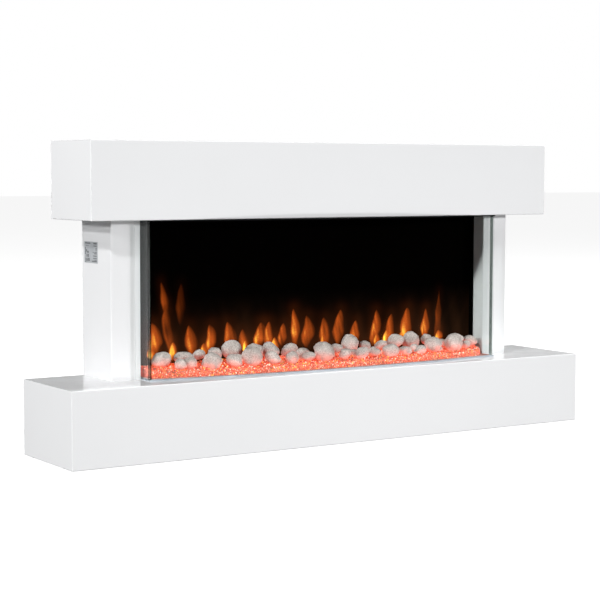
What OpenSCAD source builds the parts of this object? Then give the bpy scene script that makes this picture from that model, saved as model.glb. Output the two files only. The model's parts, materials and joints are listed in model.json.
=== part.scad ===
// Wall-hung electric fireplace suite: a mantel box and a wider base box in white lacquered board,
// two pillars between them, and a fire engine behind a bow-fronted glass.
// Units are millimetres. +Z is up, the room is towards -Y and the wall is at +Y.
// The origin is at the middle of the underside of the base.

/* [Mantel] */
// Width of the mantel box
mantel_w = 1078; // [1040:1:1140]
// Height of the mantel box
mantel_h = 148; // [130:1:170]
// Depth of the mantel box
mantel_d = 174; // [165:1:190]

/* [Base] */
// Width of the base box
base_w = 1200; // [1180:1:1260]
// Height of the base box
base_h = 145; // [135:1:170]
// Depth of the base box
base_d = 216; // [210:1:230]

/* [Fire opening] */
// Width between the pillars
opening_w = 826; // [800:2:840]
// Height between the base and the mantel
opening_h = 303; // [290:1:340]
// Width of one pillar
pillar_w = 62; // [58:1:70]
// Distance from the front of the base back to the front of the pillars
pillar_setback = 93; // [88:1:98]
// Depth of the white reveal between the pillar front and the firebox
reveal_d = 31.5; // [28:0.5:36]

/* [Glass] */
// Thickness of the three panes
glass_t = 5; // [4:0.5:6]
// Distance that the glass corners stand in front of the pillars
glass_reach = 38; // [34:1:42]
// Rise of the bowed pane at its middle
glass_bow = 37; // [30:1:39]

/* [Boards] */
// Thickness of the lacquered boards
board = 15; // [12:1:18]
// Thickness of the inner side boards of the pillars, whose edges show at the front
inner_board = 12; // [10:1:15]
// Width of the small bevel along the outer edges
edge_bevel = 1; // [0.5:0.1:1.5]

/* [Flame motor] */
// Radius that the reflector blades sweep
rotor_r = 20; // [16:1:21]
// Number of reflector blades
blade_count = 24; // [16:1:28]

/* [Hidden] */
$fn = 64;

// Planes that the parts share
back_y = base_d / 2;
base_front_y = -base_d / 2;
mantel_front_y = back_y - mantel_d;
pillar_front_y = base_front_y + pillar_setback;
firebox_front_y = pillar_front_y + reveal_d;
firebox_back_y = back_y - 8;
mantel_z = base_h + opening_h;
total_h = mantel_z + mantel_h;
half_opening = opening_w / 2;
pillar_x = half_opening + pillar_w;
pillar_seam = 0.4;

// Corners of the two boxes
mantel_lo = [-mantel_w / 2, mantel_front_y, mantel_z];
mantel_hi = [mantel_w / 2, back_y, total_h];
base_lo = [-base_w / 2, base_front_y, 0];
base_hi = [base_w / 2, back_y, base_h];

// The bow of the front glass is an arc through its corners and its middle
glass_corner_y = pillar_front_y - glass_reach;
glass_front_y = glass_corner_y - glass_bow;
bow_r = (half_opening * half_opening + glass_bow * glass_bow) / (2 * glass_bow);
bow_centre_y = glass_front_y + bow_r;
channel_h = 3;
channel_wall = 1.2;
groove_h = 1.5;
seal_w = 4;
pane_x = half_opening - glass_t;
pane_front_y = glass_corner_y + glass_t + seal_w;

// Sheet-metal firebox
sheet = 1.5;
firebox_half = half_opening - 1;
firebox_top_z = mantel_z - 0.2;
flange_w = 4.5;

// Ember bed
tray_inset = glass_t + channel_wall + 0.8;
tray_half = pane_x - channel_wall - 0.8;
tray_back_y = firebox_front_y + 9;
tray_rim_h = 4;
bed_top_z = base_h + 20;
pebble_rows = 3;
pebbles_in_row = 15;

// Flame picture
screen_y = firebox_front_y + 11.5;
screen_t = 3;
mask_y = screen_y + 24;
rotor_y = firebox_back_y - sheet - rotor_r - 2.5;
rotor_z = base_h + 40;
shaft_r = 3;
bore_r = shaft_r + 0.05;
bush_r = 6;
bracket_x = 352;
blade_span = 2 * bracket_x - 34;

// Heater in the base box
fan_y = -5;
fan_z = 80;
impeller_r = 24;
impeller_len = 300;
scroll_r = 36;
duct_wall = 1.2;
duct_front_y = fan_y - 35;
duct_back_y = fan_y - 3;
housing_half = impeller_len / 2 + 10;
grille_half = 150;
intake_y = [30, 80];
outlet_y = [duct_front_y - 2, duct_back_y + 2];

// Controls on the outer face of the right pillar
plate_t = 2.5;
plate_y = [24, 76];
plate_z = [330, 432];
control_y = (plate_y[0] + plate_y[1]) / 2;
button_z = [348, 366, 384];
button_r = 4.5;
button_travel = 1.2;
rocker_z = 412;
rocker_w = 13;
rocker_h = 19;
rocker_tilt = 8;

// Wall bracket
bracket_half = 320;
bracket_slot_x = 280;
bracket_slot_z = [502, 534];
slot_r = 3.5;
slot_len = 16;
hook_x = 240;
rail_y = back_y - 14 - board;

// ---------- helpers ----------

// Straight prisms whose outline lies in the plane across X, Y or Z
module prism_x(x0, x1, outline) {
    translate([x0, 0, 0]) rotate([90, 0, 90]) linear_extrude(x1 - x0) polygon(outline);
}

module prism_y(y0, y1, outline) {
    translate([0, y1, 0]) rotate([90, 0, 0]) linear_extrude(y1 - y0) polygon(outline);
}

module prism_z(z0, z1, outline) {
    translate([0, 0, z0]) linear_extrude(z1 - z0) polygon(outline);
}

module block(lo, hi) {
    translate(lo) cube(hi - lo);
}

module rod_x(x0, x1, y, z, r) {
    translate([x0, y, z]) rotate([0, 90, 0]) cylinder(h = x1 - x0, r = r);
}

module rod_y(y0, y1, x, z, r) {
    translate([x, y0, z]) rotate([-90, 0, 0]) cylinder(h = y1 - y0, r = r);
}

module both_sides() {
    children();
    mirror([1, 0, 0]) children();
}

// A rectangle from a to b with its corners cut off by c
function bevelled(a, b, c) = [
    [a.x + c, a.y], [b.x - c, a.y], [b.x, a.y + c], [b.x, b.y - c],
    [b.x - c, b.y], [a.x + c, b.y], [a.x, b.y - c], [a.x, a.y + c]
];

// The outside of a lacquered box, with a small bevel on every edge
module box_outside(lo, hi) {
    intersection() {
        prism_x(lo.x, hi.x, bevelled([lo.y, lo.z], [hi.y, hi.z], edge_bevel));
        prism_y(lo.y, hi.y, bevelled([lo.x, lo.z], [hi.x, hi.z], edge_bevel));
        prism_z(lo.z, hi.z, bevelled([lo.x, lo.y], [hi.x, hi.y], edge_bevel));
    }
}

// The five boards of a box open at the back, mitred to each other
module front_board(lo, hi) {
    intersection() {
        box_outside(lo, hi);
        prism_z(lo.z, hi.z, [
            [lo.x, lo.y], [hi.x, lo.y], [hi.x - board, lo.y + board], [lo.x + board, lo.y + board]
        ]);
        prism_x(lo.x, hi.x, [
            [lo.y, lo.z], [lo.y, hi.z], [lo.y + board, hi.z - board], [lo.y + board, lo.z + board]
        ]);
    }
}

module top_board(lo, hi) {
    intersection() {
        box_outside(lo, hi);
        prism_x(lo.x, hi.x, [
            [lo.y, hi.z], [hi.y, hi.z], [hi.y, hi.z - board], [lo.y + board, hi.z - board]
        ]);
        prism_y(lo.y, hi.y, [
            [lo.x, hi.z], [hi.x, hi.z], [hi.x - board, hi.z - board], [lo.x + board, hi.z - board]
        ]);
    }
}

module under_board(lo, hi) {
    intersection() {
        box_outside(lo, hi);
        prism_x(lo.x, hi.x, [
            [lo.y, lo.z], [hi.y, lo.z], [hi.y, lo.z + board], [lo.y + board, lo.z + board]
        ]);
        prism_y(lo.y, hi.y, [
            [lo.x, lo.z], [hi.x, lo.z], [hi.x - board, lo.z + board], [lo.x + board, lo.z + board]
        ]);
    }
}

module end_board(lo, hi) {
    intersection() {
        box_outside(lo, hi);
        prism_z(lo.z, hi.z, [
            [lo.x, lo.y], [lo.x, hi.y], [lo.x + board, hi.y], [lo.x + board, lo.y + board]
        ]);
        prism_y(lo.y, hi.y, [
            [lo.x, lo.z], [lo.x, hi.z], [lo.x + board, hi.z - board], [lo.x + board, lo.z + board]
        ]);
    }
}

// Where the bowed glass line, moved in by inset, crosses a given x
function bow_y(x, inset) = bow_centre_y - sqrt(pow(bow_r - inset, 2) - x * x);

// Plan of everything behind the bowed glass line, moved in by inset
module bow_plan(inset, half, back) {
    front = glass_front_y + inset - 1;
    intersection() {
        translate([0, bow_centre_y]) circle(r = bow_r - inset, $fn = 1440);
        translate([-half, front]) square([2 * half, back - front]);
    }
}

// Plan of a strip that follows the bow, from one inset to another
module bow_strip(outer, inner, half) {
    difference() {
        bow_plan(outer, half, 0);
        bow_plan(inner, half + 1, 1);
    }
}

// ---------- lacquered surround ----------

module mantel_top() {
    color("white") top_board(mantel_lo, mantel_hi);
}

module mantel_front() {
    color("white") front_board(mantel_lo, mantel_hi);
}

module mantel_left_end() {
    color("white") end_board(mantel_lo, mantel_hi);
}

module mantel_right_end() {
    color("white") mirror([1, 0, 0]) end_board(mantel_lo, mantel_hi);
}

module mantel_underside() {
    color("white") under_board(mantel_lo, mantel_hi);
}

// The rail carries the hanging hooks and leaves a pocket for the wall bracket
module mantel_back_rail() {
    color("burlywood") block(
        [mantel_lo.x + board, rail_y, mantel_lo.z + board],
        [mantel_hi.x - board, rail_y + board, mantel_hi.z - board]);
}

module pillar_outside() {
    prism_z(base_h, mantel_z, [
        [-pillar_x + edge_bevel, pillar_front_y], [-half_opening - edge_bevel, pillar_front_y],
        [-half_opening, pillar_front_y + edge_bevel], [-half_opening, back_y],
        [-pillar_x, back_y], [-pillar_x, pillar_front_y + edge_bevel]
    ]);
}

module pillar_front() {
    seam_x = -half_opening - inner_board - pillar_seam;
    intersection() {
        pillar_outside();
        prism_z(base_h, mantel_z, [
            [-pillar_x, pillar_front_y], [seam_x, pillar_front_y],
            [seam_x, pillar_front_y + board], [-pillar_x + board, pillar_front_y + board]
        ]);
    }
}

module pillar_outer_side() {
    intersection() {
        pillar_outside();
        prism_z(base_h, mantel_z, [
            [-pillar_x, pillar_front_y], [-pillar_x + board, pillar_front_y + board],
            [-pillar_x + board, back_y], [-pillar_x, back_y]
        ]);
    }
}

module pillar_inner_side() {
    intersection() {
        pillar_outside();
        block([-half_opening - inner_board, pillar_front_y, base_h], [-half_opening, back_y, mantel_z]);
    }
}

module left_pillar_front() {
    color("white") pillar_front();
}

module left_pillar_outer_side() {
    color("white") pillar_outer_side();
}

module left_pillar_inner_side() {
    color("white") pillar_inner_side();
}

module right_pillar_front() {
    color("white") mirror([1, 0, 0]) pillar_front();
}

// The opening behind the control plate lets the switches through
module right_pillar_outer_side() {
    color("white") difference() {
        mirror([1, 0, 0]) pillar_outer_side();
        block([pillar_x - board - 1, plate_y[0] + 5, plate_z[0] + 5],
            [pillar_x + 1, plate_y[1] - 5, plate_z[1] - 5]);
    }
}

module right_pillar_inner_side() {
    color("white") mirror([1, 0, 0]) pillar_inner_side();
}

screw_x = half_opening + pillar_w / 2;
screw_ys = [pillar_front_y + board + 18, back_y - 18];
screw_r = 2;

module screw_holes(r) {
    for (y = screw_ys) {
        both_sides() translate([screw_x, y, 0]) cylinder(h = total_h, r = r);
    }
}

module base_top() {
    color("white") difference() {
        top_board(base_lo, base_hi);
        screw_holes(screw_r + 0.3);
    }
}

module base_front() {
    color("white") front_board(base_lo, base_hi);
}

module base_left_end() {
    color("white") end_board(base_lo, base_hi);
}

module base_right_end() {
    color("white") mirror([1, 0, 0]) end_board(base_lo, base_hi);
}

module base_underside() {
    color("white") difference() {
        under_board(base_lo, base_hi);
        block([-grille_half, outlet_y[0], -1], [grille_half, outlet_y[1], board + 1]);
        block([-grille_half, intake_y[0], -1], [grille_half, intake_y[1], board + 1]);
    }
}

gland_x = 520;
gland_z = 60;
base_back_y = back_y - 11;

module base_back() {
    color("burlywood") difference() {
        block([base_lo.x + board, base_back_y, board], [base_hi.x - board, base_back_y + 3, base_h - board]);
        rod_y(base_back_y - 1, base_back_y + 4, gland_x, gland_z, 8.1);
    }
}

// Softwood blocks that fill the ends of the pillars and take the screws
pillar_block_h = 30;

module pillar_blocks() {
    x0 = half_opening + inner_board;
    x1 = pillar_x - board;
    y0 = pillar_front_y + board;
    color("burlywood") difference() {
        both_sides() {
            block([x0, y0, base_h], [x1, back_y, base_h + pillar_block_h]);
            block([x0, y0, mantel_z - pillar_block_h], [x1, back_y, mantel_z]);
        }
        screw_holes(screw_r + 0.05);
    }
}

corner_block = 22;

module corner_blocks() {
    module pair(half_w, y, z) {
        both_sides() block([half_w - board - corner_block, y, z],
            [half_w - board, y + corner_block, z + corner_block]);
    }
    color("burlywood") {
        pair(base_w / 2, base_front_y + board, board);
        pair(base_w / 2, base_front_y + board, base_h - board - corner_block);
        pair(mantel_w / 2, mantel_front_y + board, mantel_z + board);
        pair(mantel_w / 2, mantel_front_y + board, total_h - board - corner_block);
    }
}

// Pan-head screws up through the base top into the pillar blocks
module assembly_screws() {
    head_z = base_h - board;
    color("silver") for (y = screw_ys) {
        both_sides() translate([screw_x, y, 0]) {
            translate([0, 0, head_z - 2.4]) cylinder(h = 2.4, r = 4);
            translate([0, 0, head_z - 2.4]) cylinder(h = board + 2.4 + 24, r = screw_r);
        }
    }
}

label_y = [40, 98];
label_z = [364, 405];

module rating_label() {
    color("silver") block([-pillar_x - 0.3, label_y[0], label_z[0]], [-pillar_x, label_y[1], label_z[1]]);
}

// ---------- wall fixing ----------

shelf_z = 546;
upstand_y = back_y - 10;

module wall_bracket() {
    color("silver") difference() {
        union() {
            block([-bracket_half, back_y - 2, 490], [bracket_half, back_y, shelf_z + 26]);
            block([-bracket_half, upstand_y, shelf_z], [bracket_half, back_y, shelf_z + 2]);
            block([-bracket_half, upstand_y, shelf_z], [bracket_half, upstand_y + 2, shelf_z + 14]);
        }
        for (z = bracket_slot_z) {
            both_sides() {
                for (end = [-1, 1]) {
                    rod_y(back_y - 3, back_y + 1, bracket_slot_x + end * (slot_len / 2 - slot_r), z, slot_r);
                }
                block([bracket_slot_x - slot_len / 2 + slot_r, back_y - 3, z - slot_r],
                    [bracket_slot_x + slot_len / 2 - slot_r, back_y + 1, z + slot_r]);
            }
        }
    }
}

// Folded hooks on the rail that drop behind the upstand of the bracket
module hanging_hooks() {
    plate_y0 = rail_y + board;
    hook_top_z = shelf_z + 34;
    tongue_y = back_y - 6;
    color("silver") both_sides() {
        difference() {
            block([hook_x - 20, plate_y0, shelf_z - 30], [hook_x + 20, plate_y0 + 2, hook_top_z]);
            for (dx = [-12, 12]) {
                rod_y(plate_y0 - 1, plate_y0 + 3, hook_x + dx, shelf_z - 18, 2.2);
            }
        }
        block([hook_x - 20, plate_y0, hook_top_z - 2], [hook_x + 20, tongue_y + 2, hook_top_z]);
        block([hook_x - 20, tongue_y, shelf_z + 2], [hook_x + 20, tongue_y + 2, hook_top_z]);
    }
}

// ---------- firebox and glass ----------

module firebox_back() {
    color([0.06, 0.06, 0.06]) difference() {
        block([-firebox_half, firebox_back_y - sheet, base_h],
            [firebox_half, firebox_back_y, firebox_top_z - sheet]);
        // louvre slots that let the lamps cool
        for (row = [0:3]) {
            for (i = [-4:4]) {
                block([i * 84 - 30, firebox_back_y - sheet - 1, mantel_z - 60 + row * 11],
                    [i * 84 + 30, firebox_back_y + 1, mantel_z - 56 + row * 11]);
            }
        }
    }
}

module firebox_side() {
    block([-firebox_half, firebox_front_y, base_h],
        [-firebox_half + sheet, firebox_back_y - sheet, firebox_top_z - sheet]);
    block([-firebox_half, firebox_front_y, base_h],
        [-firebox_half + flange_w, firebox_front_y + sheet, firebox_top_z - sheet]);
}

module firebox_left_side() {
    color([0.06, 0.06, 0.06]) firebox_side();
}

module firebox_right_side() {
    color([0.06, 0.06, 0.06]) mirror([1, 0, 0]) firebox_side();
}

module firebox_top() {
    color([0.06, 0.06, 0.06]) translate([0, 0, firebox_top_z - sheet]) linear_extrude(sheet) union() {
        bow_plan(glass_t + channel_wall + 0.2, pane_x - channel_wall - 0.2, 0);
        translate([-pane_x + channel_wall + 0.2, -1]) square([2 * (pane_x - channel_wall - 0.2), 1 + firebox_front_y]);
        translate([-firebox_half, firebox_front_y])
            square([2 * firebox_half, firebox_back_y - firebox_front_y]);
    }
}

glass_z = [base_h + groove_h, mantel_z - groove_h];

module front_glass() {
    color([0.75, 0.85, 0.87, 0.3]) translate([0, 0, glass_z[0]])
        linear_extrude(glass_z[1] - glass_z[0]) bow_strip(0, glass_t, half_opening);
}

module side_glass() {
    block([-half_opening, pane_front_y, glass_z[0]], [-pane_x, firebox_front_y, glass_z[1]]);
}

module left_glass() {
    color([0.75, 0.85, 0.87, 0.3]) side_glass();
}

module right_glass() {
    color([0.75, 0.85, 0.87, 0.3]) mirror([1, 0, 0]) side_glass();
}

// A U-shaped channel along the bowed pane with an L-shaped leg along each side pane.
// It is drawn as the lower channel; the groove is as deep as the glass stands in it.
module glass_channel() {
    difference() {
        union() {
            linear_extrude(channel_h) bow_strip(-channel_wall, glass_t + channel_wall, half_opening);
            both_sides() block([pane_x - channel_wall, glass_corner_y + glass_t, 0],
                [half_opening, firebox_front_y, channel_h]);
        }
        translate([0, 0, groove_h]) linear_extrude(channel_h) bow_strip(0, glass_t, half_opening + 1);
        both_sides() block([pane_x, glass_corner_y + glass_t - 1, groove_h],
            [half_opening + 1, firebox_front_y + 1, channel_h + 1]);
    }
}

module glass_bottom_channel() {
    color("silver") translate([0, 0, base_h]) glass_channel();
}

module glass_top_channel() {
    color([0.08, 0.08, 0.08]) translate([0, 0, mantel_z]) mirror([0, 0, 1]) glass_channel();
}

module corner_seals() {
    color([0.6, 0.65, 0.63]) both_sides() prism_z(glass_z[0], glass_z[1], [
        [pane_x, bow_y(pane_x, glass_t)], [half_opening, bow_y(half_opening, glass_t)],
        [half_opening, pane_front_y], [pane_x, pane_front_y]
    ]);
}

// ---------- ember bed ----------

// Floor and low rim that hold the crystals behind the bowed glass
module ember_tray() {
    color([0.8, 0.25, 0.15]) difference() {
        translate([0, 0, base_h]) linear_extrude(tray_rim_h) union() {
            bow_plan(tray_inset, tray_half, 0);
            translate([-tray_half, -1]) square([2 * tray_half, 1 + tray_back_y]);
        }
        translate([0, 0, base_h + sheet]) linear_extrude(tray_rim_h) union() {
            bow_plan(tray_inset + sheet, tray_half - sheet, 0);
            translate([-tray_half + sheet, -1]) square([2 * (tray_half - sheet), 1 + tray_back_y - sheet]);
        }
    }
}

// Loose crystals, drawn as one shallow bed
module crystal_bed() {
    half = tray_half - sheet - 0.4;
    color([1, 0.35, 0.2]) translate([0, 0, base_h + sheet]) linear_extrude(bed_top_z - base_h - sheet) union() {
        bow_plan(tray_inset + sheet + 0.4, half, 0);
        translate([-half, -1]) square([2 * half, 1 + tray_back_y - 8]);
    }
}

// One flattened pebble lying on the bed: an ellipse turned about its short axis
module pebble(r, h, steps) {
    rotate_extrude($fn = 32) polygon(concat(
        [[0, -h]], [for (i = [1:steps - 1]) [r * sin(180 * i / steps), -h * cos(180 * i / steps)]], [[0, h]]));
}

module pebbles() {
    pitch = 2 * (tray_half - 26) / (pebbles_in_row - 1);
    sizes = rands(0.75, 1, pebble_rows * pebbles_in_row, 7);
    color([0.85, 0.82, 0.8]) for (row = [0:pebble_rows - 1]) {
        for (i = [0:pebbles_in_row - 1]) {
            x = -tray_half + 26 + pitch * i;
            k = sizes[row * pebbles_in_row + i];
            front_row_y = bow_y(x, 0) + tray_inset + 22;
            y = front_row_y + (tray_back_y - 32 - front_row_y) * row / (pebble_rows - 1);
            r = min(19 * k, (tray_back_y - 32 - front_row_y) / (2 * (pebble_rows - 1)) - 0.5);
            h = 12 * k;
            translate([x, y, bed_top_z + h]) pebble(r, h, 10);
        }
    }
}

led_pitch = 20;

// Upright strip behind the crystals, with its lamps facing the room
module ember_led_board() {
    board_y = tray_back_y - 5;
    color([0.1, 0.3, 0.15]) union() {
        block([-380, board_y, base_h + 3], [380, board_y + 1.6, base_h + 15]);
        for (i = [-18:18]) {
            block([i * led_pitch - 2.5, board_y - 1.2, base_h + 7], [i * led_pitch + 2.5, board_y, base_h + 12]);
        }
    }
}

// ---------- flame picture ----------

module flame_screen() {
    color([0.05, 0.05, 0.06]) block(
        [-firebox_half + sheet + 0.5, screen_y, base_h],
        [firebox_half - sheet - 0.5, screen_y + screen_t, firebox_top_z - sheet]);
}

// Polished sheet with flame-shaped windows in front of the rotor
module flame_mask() {
    heights = rands(70, 170, 18, 3);
    color("gainsboro") difference() {
        block([-400, mask_y, base_h], [400, mask_y + 1, firebox_top_z - sheet - 4]);
        for (i = [0:17]) {
            x = -374 + 44 * i;
            z = base_h + 30;
            h = heights[i];
            prism_y(mask_y - 1, mask_y + 2, [
                [x, z], [x + 12, z + 0.2 * h], [x + 7, z + 0.55 * h], [x + 3, z + h],
                [x - 3, z + 0.6 * h], [x - 11, z + 0.25 * h]
            ]);
        }
    }
}

module flame_led_board() {
    y0 = rotor_y - 12;
    color([0.1, 0.3, 0.15]) union() {
        block([-330, y0, base_h], [330, y0 + 24, base_h + 1.6]);
        for (i = [-16:16]) {
            block([i * led_pitch - 2.5, y0 + 9.5, base_h + 1.6], [i * led_pitch + 2.5, y0 + 14.5, base_h + 3]);
        }
    }
}

// Spindle with bright blades that throw the moving light through the mask
module flame_rotor() {
    step = blade_span / blade_count;
    color("silver") union() {
        rod_x(-bracket_x - 6, bracket_x + 20, rotor_y, rotor_z, shaft_r);
        for (i = [0:blade_count - 1]) {
            translate([-blade_span / 2 + step * (i + 0.5), rotor_y, rotor_z]) rotate([i * 137.5, 0, 0])
                cube([step * 0.8, 2 * rotor_r, 0.8], center = true);
        }
    }
}

module rotor_brackets() {
    color("silver") both_sides() difference() {
        union() {
            block([bracket_x, rotor_y - 14, base_h], [bracket_x + 2, rotor_y + 14, rotor_z + 14]);
            block([bracket_x, rotor_y - 14, base_h], [bracket_x + 18, rotor_y + 14, base_h + 2]);
        }
        rod_x(bracket_x - 1, bracket_x + 3, rotor_y, rotor_z, bush_r + 0.05);
    }
}

// Flanged plain bearings: two for the flame rotor and two for the heater fan
module bush(x, y, z) {
    difference() {
        union() {
            rod_x(x - 1.6, x + 4, y, z, bush_r);
            rod_x(x - 1.6, x - 0.1, y, z, bush_r + 2.5);
        }
        rod_x(x - 3, x + 6, y, z, bore_r);
    }
}

module shaft_bushes() {
    color("peru") both_sides() {
        bush(bracket_x, rotor_y, rotor_z);
        bush(housing_half - duct_wall, fan_y, fan_z);
    }
}

module motor(x, y, z, r, len) {
    difference() {
        union() {
            rod_x(x, x + len, y, z, r);
            rod_x(x - 1.5, x, y, z, 8);
            block([x + 4, y - r - 2, z - 6], [x + len - 4, y, z + 6]);
        }
        rod_x(x - 3, x + 16, y, z, bore_r);
    }
}

module rotor_motor() {
    color([0.15, 0.15, 0.16]) motor(bracket_x + 6, rotor_y, rotor_z, 19, 26);
}

// ---------- heater ----------

module housing_outline(grow) {
    union() {
        translate([fan_y, fan_z]) circle(r = scroll_r + grow);
        translate([duct_front_y - grow, board + 1]) square([duct_back_y - duct_front_y + 2 * grow, fan_z - board - 1]);
    }
}

// Scroll and duct that turn the fan's air down through the outlet
module heater_housing() {
    color("silver") difference() {
        translate([-housing_half, 0, 0]) rotate([90, 0, 90])
            linear_extrude(2 * housing_half) housing_outline(0);
        translate([-housing_half + duct_wall, 0, -1]) rotate([90, 0, 90])
            linear_extrude(2 * (housing_half - duct_wall)) union() {
                housing_outline(-duct_wall);
                translate([duct_front_y + duct_wall, board]) square([duct_back_y - duct_front_y - 2 * duct_wall, 20]);
            }
        // intake mouth at the back
        block([-housing_half + 12, fan_y + 14, fan_z - 26], [housing_half - 12, fan_y + 60, fan_z + 22]);
        rod_x(-housing_half - 1, housing_half + 1, fan_y, fan_z, bush_r + 0.05);
    }
}

// Ceramic bars clamped between thin fins, across the outlet duct
module heating_element() {
    y0 = duct_front_y + 4;
    y1 = duct_back_y - 4;
    color("gainsboro") union() {
        for (y = [y0, (y0 + y1) / 2 - 1, y1 - 2]) {
            block([-140, y, 26], [140, y + 2, 42]);
        }
        for (i = [-34:34]) {
            block([i * 4 - 0.3, y0, 27], [i * 4 + 0.3, y1, 41]);
        }
    }
}

module fan_impeller() {
    blades = 22;
    color([0.8, 0.8, 0.82]) union() {
        rod_x(-housing_half - 4, housing_half + 24, fan_y, fan_z, shaft_r);
        for (x = [-impeller_len / 2, -1, impeller_len / 2 - 2]) {
            rod_x(x, x + 2, fan_y, fan_z, impeller_r);
        }
        for (i = [0:blades - 1]) {
            translate([0, fan_y, fan_z]) rotate([i * 360 / blades, 0, 0]) translate([0, 0, impeller_r - 4])
                rotate([25, 0, 0]) cube([impeller_len, 0.8, 7], center = true);
        }
    }
}

module fan_motor() {
    color([0.15, 0.15, 0.16]) motor(housing_half + 10, fan_y, fan_z, 22, 34);
}

// Snap-disc switch on the front of the duct
module thermal_cutout() {
    color([0.2, 0.18, 0.16]) union() {
        rod_y(duct_front_y - 7, duct_front_y, 60, 52, 8);
        for (dx = [-4, 4]) {
            block([60 + dx - 1.5, duct_front_y - 15, 51.6], [60 + dx + 1.5, duct_front_y - 7, 52.4]);
        }
    }
}

module grille(ys) {
    clear = 0.3;
    rib_count = floor((ys[1] - ys[0]) / 8);
    pitch = (ys[1] - ys[0] - 4) / rib_count;
    bay = (2 * grille_half - 4) / 6;
    difference() {
        block([-grille_half + clear, ys[0] + clear, 3], [grille_half - clear, ys[1] - clear, 9]);
        for (row = [0:rib_count - 1]) {
            for (col = [0:5]) {
                block([-grille_half + 4 + bay * col, ys[0] + 3.5 + pitch * row, 2],
                    [-grille_half + bay * (col + 1), ys[0] + 0.5 + pitch * (row + 1), 10]);
            }
        }
    }
}

module outlet_grille() {
    color([0.08, 0.08, 0.08]) grille(outlet_y);
}

module intake_grille() {
    color([0.08, 0.08, 0.08]) grille(intake_y);
}

// ---------- supply and controls ----------

// Circuit board on four feet inside the base box
module power_board() {
    x0 = 300;
    y0 = -45;
    z0 = board + 6;
    color([0.1, 0.35, 0.2]) union() {
        block([x0, y0, z0], [x0 + 130, y0 + 90, z0 + 1.6]);
        for (p = [[6, 6], [124, 6], [6, 84], [124, 84]]) {
            translate([x0 + p.x, y0 + p.y, board]) cylinder(h = 6, r = 3);
        }
        block([x0 + 12, y0 + 20, z0 + 1.6], [x0 + 46, y0 + 48, z0 + 28]);
        block([x0 + 60, y0 + 12, z0 + 1.6], [x0 + 78, y0 + 28, z0 + 17]);
        block([x0 + 84, y0 + 12, z0 + 1.6], [x0 + 102, y0 + 28, z0 + 17]);
        block([x0 + 60, y0 + 60, z0 + 1.6], [x0 + 116, y0 + 70, z0 + 12]);
        for (i = [0:2]) {
            translate([x0 + 66 + 16 * i, y0 + 44, z0 + 1.6]) cylinder(h = 20 - 4 * i, r = 6 - i);
        }
    }
}

// Cable gland in the back of the base, with its lock nut inside
module mains_gland() {
    y = base_back_y;
    color([0.08, 0.08, 0.08]) difference() {
        union() {
            rod_y(y + 3, y + 6, gland_x, gland_z, 13);
            rod_y(y + 6, y + 10, gland_x, gland_z, 9);
            rod_y(y - 8, y + 3, gland_x, gland_z, 8);
            translate([gland_x, y, gland_z]) rotate([90, 0, 0]) cylinder(h = 5, r = 12, $fn = 6);
        }
        rod_y(y - 9, y + 11, gland_x, gland_z, 3.8);
    }
}

// Plastic plate over the switches, with a socket for the rocker
module control_plate() {
    x0 = pillar_x;
    x1 = pillar_x + plate_t;
    sock = 1.5;
    color([0.08, 0.08, 0.08]) difference() {
        union() {
            prism_x(x0, x1, bevelled([plate_y[0], plate_z[0]], [plate_y[1], plate_z[1]], 3));
            block([x0 - 12, control_y - rocker_w / 2 - sock, rocker_z - rocker_h / 2 - sock],
                [x0 + 1, control_y + rocker_w / 2 + sock, rocker_z + rocker_h / 2 + sock]);
        }
        block([x0 - 10.5, control_y - rocker_w / 2, rocker_z - rocker_h / 2],
            [x1 + 1, control_y + rocker_w / 2, rocker_z + rocker_h / 2]);
        // sockets for the rocker's trunnions
        rod_y(control_y - rocker_w / 2 - 1, control_y + rocker_w / 2 + 1, rocker_x, rocker_z, 1.25);
        for (z = button_z) {
            rod_x(x0 - 1, x1 + 1, control_y, z, button_r + 0.3);
        }
    }
}

rocker_x = pillar_x - 3;

// See-saw switch, drawn pressed to its on side
module power_rocker() {
    half = rocker_h / 2 - 1;
    color([0.12, 0.12, 0.12]) translate([rocker_x, 0, rocker_z]) rotate([0, rocker_tilt, 0]) union() {
        prism_y(control_y - rocker_w / 2 + 0.4, control_y + rocker_w / 2 - 0.4, [
            [-3, -3], [2, -half], [6.5, -half], [5.2, 0], [6.5, half], [2, half], [-3, 3]
        ]);
        rod_y(control_y - rocker_w / 2 - 0.9, control_y + rocker_w / 2 + 0.9, 0, 0, 1.2);
    }
}

// Push button: a domed cap in front of the plate and a flange that keeps it in
module push_button(z) {
    x1 = pillar_x + plate_t;
    cap = button_travel + 0.8;
    translate([0, control_y, z]) rotate([0, 90, 0]) rotate_extrude() polygon([
        [0, pillar_x - 5], [2, pillar_x - 5], [2, pillar_x - 2.2], [button_r + 1.5, pillar_x - 2.2],
        [button_r + 1.5, pillar_x - 0.4], [button_r, pillar_x - 0.4], [button_r, x1 + cap - 0.6],
        [button_r - 0.6, x1 + cap], [0, x1 + cap]
    ]);
}

module flame_button() {
    color("gainsboro") push_button(button_z[2]);
}

module ember_button() {
    color("gainsboro") push_button(button_z[1]);
}

module heat_button() {
    color("gainsboro") push_button(button_z[0]);
}

// Board behind the plate with one small switch under each button
module switch_board() {
    x1 = pillar_x - 11;
    color([0.1, 0.35, 0.2]) union() {
        block([x1 - 1.6, plate_y[0] + 8, plate_z[0] + 8], [x1, plate_y[1] - 8, 396]);
        for (z = button_z) {
            block([x1, control_y - 3, z - 3], [x1 + 3, control_y + 3, z + 3]);
            rod_x(x1 + 3, pillar_x - 5 - button_travel - 0.3, control_y, z, 1.5);
        }
    }
}

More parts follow.
